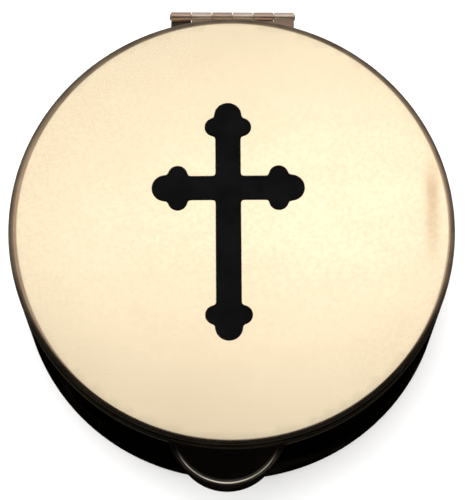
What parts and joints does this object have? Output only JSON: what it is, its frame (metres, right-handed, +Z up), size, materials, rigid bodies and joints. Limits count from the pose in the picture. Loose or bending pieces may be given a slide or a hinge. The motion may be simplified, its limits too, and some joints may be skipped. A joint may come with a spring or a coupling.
{
  "type": "pyx",
  "caption": "Round brass pyx for carrying hosts: a drawn cup with a hinged lid, an inlaid black cross, a friction rim and a pair of half-moon thumb lips.",
  "frame": {"origin": "centre of the flat underside, on the surface that the box stands on", "axes": "+Z up through the middle of the lid, +Y towards the hinge, +X to the right seen from the thumb lips"},
  "size_m": [0.0762, 0.0853, 0.0317],
  "materials": {
    "satin_brass": "fine satin, pale gold",
    "polished_brass": "polished",
    "gilt": "bright gilt",
    "pin_steel": "drawn wire",
    "black_enamel": "gloss enamel"
  },
  "bodies": {
    "base": {"base_shell": "polished_brass", "base_lining": "gilt", "base_hinge_leaf": "polished_brass", "base_thumb_lip": "polished_brass", "base_knuckle_1": "polished_brass", "base_knuckle_3": "polished_brass", "base_knuckle_5": "polished_brass", "hinge_pin": "pin_steel"},
    "lid": {"lid_shell": "satin_brass", "lid_lining": "gilt", "lid_hinge_leaf": "polished_brass", "lid_thumb_lip": "polished_brass", "lid_knuckle_2": "polished_brass", "lid_knuckle_4": "polished_brass", "lid_knuckle_6": "polished_brass", "cross_inlay": "black_enamel"}
  },
  "joints": [
    {"name": "lid_hinge", "type": "hinge", "parent": "base", "child": "lid", "pos_m": [0, 0.0402, 0.0265], "axis": [-1, 0, 0], "range_deg": [0, 180]}
  ]
}
